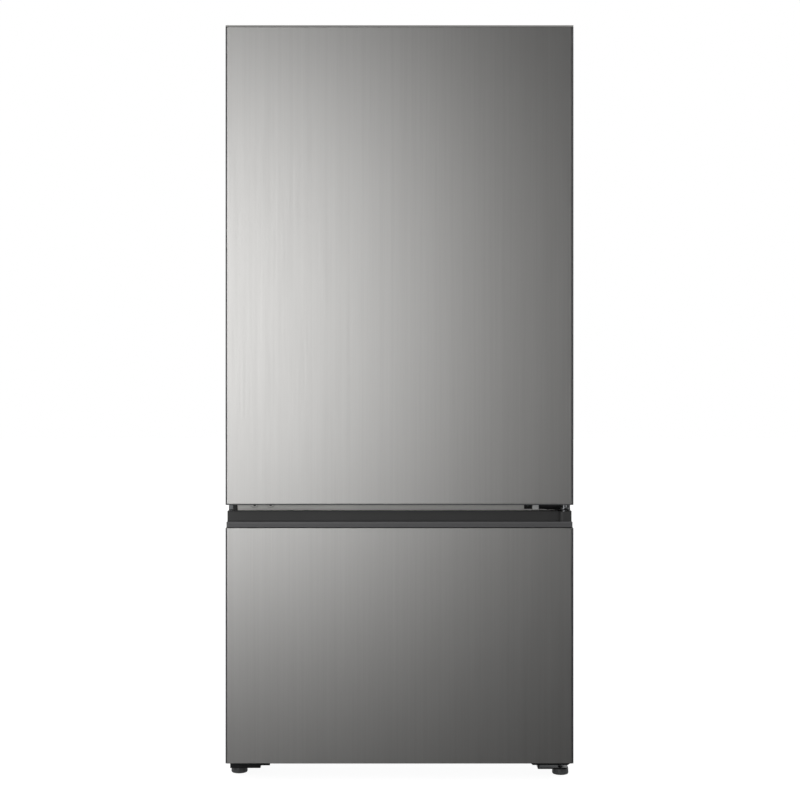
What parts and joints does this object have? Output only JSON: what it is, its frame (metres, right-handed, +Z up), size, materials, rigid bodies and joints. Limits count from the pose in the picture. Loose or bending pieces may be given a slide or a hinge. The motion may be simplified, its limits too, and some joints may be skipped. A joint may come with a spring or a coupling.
{
  "type": "bottom freezer refrigerator",
  "caption": "Tall refrigerator with a brushed steel fridge door over a freezer door with a full-width grip, both hinged on the right, with shelves, drawers and cooling parts inside.",
  "frame": {"origin": "on the floor, under the middle of the object's box", "axes": "+X to the viewer's right as seen from the front, +Y from the door faces to the back, +Z up"},
  "size_m": [0.79, 0.7, 1.725],
  "materials": {
    "brushed_steel": "brushed",
    "case_paint": "satin",
    "rail_paint": "satin",
    "black_paint": "satin",
    "zinc_steel": "satin",
    "dark_plastic": "satin",
    "black_plastic": "satin",
    "white_plastic": "gloss",
    "grey_plastic": "satin",
    "clear_plastic": "gloss",
    "safety_glass": "polished",
    "seal_rubber": "matte",
    "insulation_foam": "matte",
    "compressor_paint": "gloss",
    "fin_aluminium": "satin",
    "roller_plastic": "matte"
  },
  "bodies": {
    "cabinet": {"outer_case": "case_paint", "rear_panel": "zinc_steel", "base_plate": "zinc_steel", "foam_body": "insulation_foam", "fridge_liner": "white_plastic", "freezer_liner": "white_plastic", "mullion_rail": "rail_paint", "middle_hinge": "black_paint", "top_hinge": "black_paint", "top_hinge_cover": "black_plastic", "bottom_hinge": "black_paint", "left_foot_bracket": "black_paint", "compressor_tray": "zinc_steel", "compressor": "compressor_paint", "condenser": "black_paint", "condenser_fan_motor": "black_plastic", "drip_tray": "black_plastic", "machine_cover": "black_paint", "freezer_duct_cover": "white_plastic", "evaporator": "fin_aluminium", "fridge_air_duct": "white_plastic", "control_box": "white_plastic", "shelf_high_frame": "white_plastic", "shelf_high_glass": "safety_glass", "shelf_middle_frame": "white_plastic", "shelf_middle_glass": "safety_glass", "shelf_low_frame": "white_plastic", "shelf_low_glass": "safety_glass", "crisper_cover_frame": "white_plastic", "crisper_cover_glass": "safety_glass"},
    "fridge_door": {"fridge_door_skin": "brushed_steel", "fridge_door_bottom_cap": "black_plastic", "fridge_door_top_cap": "black_plastic", "fridge_door_foam": "insulation_foam", "fridge_door_liner": "white_plastic", "fridge_door_rib": "white_plastic", "fridge_door_gasket": "seal_rubber", "door_bin_high": "clear_plastic", "door_bin_middle": "clear_plastic", "door_bin_low": "clear_plastic"},
    "freezer_door": {"freezer_door_skin": "brushed_steel", "freezer_door_grip": "dark_plastic", "freezer_door_bottom_cap": "black_plastic", "freezer_door_foam": "insulation_foam", "freezer_door_liner": "white_plastic", "freezer_door_gasket": "seal_rubber"},
    "dairy_lid": {"dairy_lid": "clear_plastic"},
    "crisper_left": {"crisper_left": "clear_plastic"},
    "crisper_right": {"crisper_right": "clear_plastic"},
    "chill_drawer": {"chill_drawer": "clear_plastic"},
    "freezer_drawer_bottom": {"freezer_drawer_bottom": "clear_plastic"},
    "freezer_drawer_middle": {"freezer_drawer_middle": "clear_plastic"},
    "freezer_drawer_top": {"freezer_drawer_top": "clear_plastic"},
    "temperature_dial": {"temperature_dial": "grey_plastic"},
    "condenser_fan": {"condenser_fan": "black_plastic"},
    "evaporator_fan": {"evaporator_fan": "grey_plastic"},
    "front_foot_left": {"front_foot_left": "black_plastic"},
    "front_foot_right": {"front_foot_right": "black_plastic"},
    "rear_roller_left": {"rear_roller_left": "roller_plastic"},
    "rear_roller_right": {"rear_roller_right": "roller_plastic"}
  },
  "joints": [
    {"name": "fridge_door_swing", "type": "hinge", "parent": "cabinet", "child": "fridge_door", "pos_m": [0.377, -0.32, 1], "axis": [0, 0, 1], "range_deg": [0, 135]},
    {"name": "freezer_door_swing", "type": "hinge", "parent": "cabinet", "child": "freezer_door", "pos_m": [0.377, -0.32, 0.3], "axis": [0, 0, 1], "range_deg": [0, 135]},
    {"name": "dairy_lid_flip", "type": "hinge", "parent": "fridge_door", "child": "dairy_lid", "pos_m": [0, -0.28, 1.496], "axis": [1, 0, 0], "range_deg": [0, 80]},
    {"name": "crisper_left_slide", "type": "slide", "parent": "cabinet", "child": "crisper_left", "axis": [0, -1, 0], "range_m": [0, 0.24]},
    {"name": "crisper_right_slide", "type": "slide", "parent": "cabinet", "child": "crisper_right", "axis": [0, -1, 0], "range_m": [0, 0.24]},
    {"name": "chill_drawer_slide", "type": "slide", "parent": "cabinet", "child": "chill_drawer", "axis": [0, -1, 0], "range_m": [0, 0.24]},
    {"name": "freezer_drawer_bottom_slide", "type": "slide", "parent": "cabinet", "child": "freezer_drawer_bottom", "axis": [0, -1, 0], "range_m": [0, 0.21]},
    {"name": "freezer_drawer_middle_slide", "type": "slide", "parent": "cabinet", "child": "freezer_drawer_middle", "axis": [0, -1, 0], "range_m": [0, 0.21]},
    {"name": "freezer_drawer_top_slide", "type": "slide", "parent": "cabinet", "child": "freezer_drawer_top", "axis": [0, -1, 0], "range_m": [0, 0.21]},
    {"name": "temperature_dial_turn", "type": "hinge", "parent": "cabinet", "child": "temperature_dial", "pos_m": [0.07, -0.182, 1.641], "axis": [0, -1, 0], "range_deg": [-135, 135]},
    {"name": "condenser_fan_spin", "type": "hinge", "parent": "cabinet", "child": "condenser_fan", "pos_m": [0.0342, 0.25, 0.13], "axis": [1, 0, 0], "continuous": true},
    {"name": "evaporator_fan_spin", "type": "hinge", "parent": "cabinet", "child": "evaporator_fan", "pos_m": [0, 0.226, 0.5217], "axis": [0, 1, 0], "continuous": true},
    {"name": "front_foot_left_turn", "type": "hinge", "parent": "cabinet", "child": "front_foot_left", "pos_m": [-0.374, -0.244, 0], "axis": [0, 0, 1], "continuous": true},
    {"name": "front_foot_right_turn", "type": "hinge", "parent": "cabinet", "child": "front_foot_right", "pos_m": [0.374, -0.26, 0], "axis": [0, 0, 1], "continuous": true},
    {"name": "rear_roller_left_roll", "type": "hinge", "parent": "cabinet", "child": "rear_roller_left", "pos_m": [-0.34, 0.3, 0.02], "axis": [1, 0, 0], "continuous": true},
    {"name": "rear_roller_right_roll", "type": "hinge", "parent": "cabinet", "child": "rear_roller_right", "pos_m": [0.34, 0.3, 0.02], "axis": [1, 0, 0], "continuous": true}
  ],
  "couplings": [
    {"joint": "crisper_left_slide", "follows": "fridge_door_swing", "m_per_rad": 0.1},
    {"joint": "crisper_right_slide", "follows": "fridge_door_swing", "m_per_rad": 0.1},
    {"joint": "chill_drawer_slide", "follows": "fridge_door_swing", "m_per_rad": 0.1},
    {"joint": "freezer_drawer_bottom_slide", "follows": "freezer_door_swing", "m_per_rad": 0.088},
    {"joint": "freezer_drawer_middle_slide", "follows": "freezer_door_swing", "m_per_rad": 0.088},
    {"joint": "freezer_drawer_top_slide", "follows": "freezer_door_swing", "m_per_rad": 0.088}
  ]
}
